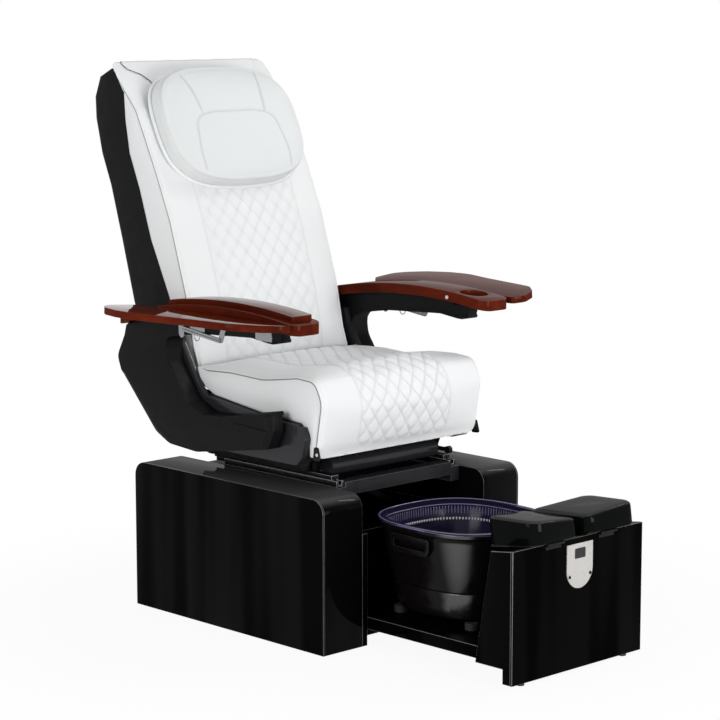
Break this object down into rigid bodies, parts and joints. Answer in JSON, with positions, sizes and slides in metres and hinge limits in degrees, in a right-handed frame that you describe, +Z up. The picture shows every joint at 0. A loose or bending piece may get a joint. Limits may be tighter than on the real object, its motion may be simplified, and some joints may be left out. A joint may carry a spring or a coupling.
{
  "type": "pedicure spa chair",
  "caption": "Reclining pedicure chair: quilted sliding seat and back with fold-down arm trays on clad cabinets, lift-out foot tub and tilting footrest.",
  "frame": {"origin": "centre of the chair's bounding box on the floor", "axes": "+Z up, the user faces -Y, +X is the user's left"},
  "size_m": [1.2284, 1.5722, 1.462],
  "materials": {
    "acrylic_black": "high gloss sheet",
    "pad_black": "high gloss, moulded",
    "plate_white": "satin",
    "rubber_black": "matt",
    "plastic_dark": "satin",
    "tub_brown": "gloss",
    "liner_indigo": "translucent gloss",
    "steel_black": "powder coat",
    "steel_bright": "bright zinc",
    "roller_grey": "matt",
    "leather_white": "fine grain",
    "arm_charcoal": "satin",
    "wood_dark": "gloss lacquer"
  },
  "bodies": {
    "base": {"cabinet_skin_left": "acrylic_black", "cabinet_skin_right": "acrylic_black", "side_panel_left": "acrylic_black", "side_panel_right": "acrylic_black", "bay_panel_left": "acrylic_black", "bay_panel_right": "acrylic_black", "rear_panel": "acrylic_black", "riser_panel": "acrylic_black", "platform": "acrylic_black", "footrest_cabinet": "acrylic_black", "footrest_front": "acrylic_black", "front_plate": "plate_white", "plate_screws": "steel_bright", "glide_feet": "rubber_black", "base_frame": "acrylic_black", "slide_rail_left": "steel_bright", "slide_rail_right": "steel_bright", "mains_inlet": "plastic_dark", "footrest_hinge": "steel_black"},
    "footrest": {"footrest_carrier": "steel_black", "foot_pad_left": "pad_black", "foot_pad_right": "pad_black"},
    "tub": {"tub_body": "tub_brown", "tub_base": "tub_brown", "tub_feet": "rubber_black", "tub_handle_left": "tub_brown", "tub_handle_right": "tub_brown"},
    "liner": {"tub_liner": "liner_indigo"},
    "seat": {"seat_frame": "steel_black", "rail_runner_left": "steel_bright", "rail_runner_right": "steel_bright", "cross_tube": "steel_black", "seat_side_cover_left": "plastic_dark", "seat_side_cover_right": "plastic_dark", "seat_cushion": "leather_white", "arm_left": "arm_charcoal", "arm_right": "arm_charcoal", "arm_board_left": "wood_dark", "arm_board_right": "wood_dark", "board_lid": "wood_dark", "arm_caps": "steel_bright", "leaf_bracket_left": "steel_bright", "leaf_bracket_right": "steel_bright", "recline_pins": "steel_bright", "recline_motor": "steel_black", "control_box": "plastic_dark"},
    "lever": {"slide_lever": "steel_bright"},
    "rod": {"recline_rod": "steel_bright"},
    "leaf_left": {"tray_leaf_left": "wood_dark", "leaf_strut_left": "steel_bright"},
    "leaf_right": {"tray_leaf_right": "wood_dark", "leaf_strut_right": "steel_bright"},
    "back": {"back_shell": "plastic_dark", "back_frame": "steel_black", "back_cushion": "leather_white", "head_pillow": "leather_white", "massage_rails": "steel_bright"},
    "screw": {"lead_screw": "steel_bright"},
    "carriage": {"massage_carriage": "steel_black"},
    "rollers": {"kneading_rollers": "roller_grey"}
  },
  "joints": [
    {"name": "seat_slide", "type": "slide", "parent": "base", "child": "seat", "axis": [0, 1, 0], "range_m": [-0.08, 0.04]},
    {"name": "recline", "type": "hinge", "parent": "seat", "child": "back", "pos_m": [0, 0.4095, 0.545], "axis": [-1, 0, 0], "range_deg": [0, 35]},
    {"name": "recline_push", "type": "slide", "parent": "seat", "child": "rod", "axis": [0, -1, 0], "range_m": [0, 0.05]},
    {"name": "leaf_fold_left", "type": "hinge", "parent": "seat", "child": "leaf_left", "pos_m": [0.3985, 0.0695, 0.811], "axis": [0, 1, 0], "range_deg": [0, 85]},
    {"name": "leaf_fold_right", "type": "hinge", "parent": "seat", "child": "leaf_right", "pos_m": [-0.3985, 0.0695, 0.811], "axis": [0, -1, 0], "range_deg": [0, 85]},
    {"name": "footrest_tilt", "type": "hinge", "parent": "base", "child": "footrest", "pos_m": [0, -0.7675, 0.338], "axis": [1, 0, 0], "range_deg": [0, 75]},
    {"name": "tub_lift", "type": "slide", "parent": "base", "child": "tub", "axis": [0, 0, 1], "range_m": [0, 0.06]},
    {"name": "liner_lift", "type": "slide", "parent": "tub", "child": "liner", "axis": [0, 0, 1], "range_m": [0, 0.1]},
    {"name": "slide_release", "type": "hinge", "parent": "seat", "child": "lever", "pos_m": [0.2, -0.0685, 0.44], "axis": [-1, 0, 0], "range_deg": [0, 25], "stiffness_Nm_per_rad": 1.5},
    {"name": "massage_travel", "type": "slide", "parent": "back", "child": "carriage", "axis": [0, 0.3567, 0.9342], "range_m": [-0.18, 0.18]},
    {"name": "screw_turn", "type": "hinge", "parent": "back", "child": "screw", "pos_m": [0, 0.53832, 0.77358], "axis": [0, 0.3567, 0.9342], "continuous": true},
    {"name": "knead", "type": "hinge", "parent": "carriage", "child": "rollers", "pos_m": [0, 0.57918, 1.00953], "axis": [1, 0, 0], "continuous": true}
  ],
  "couplings": [
    {"joint": "recline_push", "follows": "recline", "m_per_rad": 0.0786},
    {"joint": "screw_turn", "follows": "massage_travel", "rad_per_m": 314.16}
  ]
}
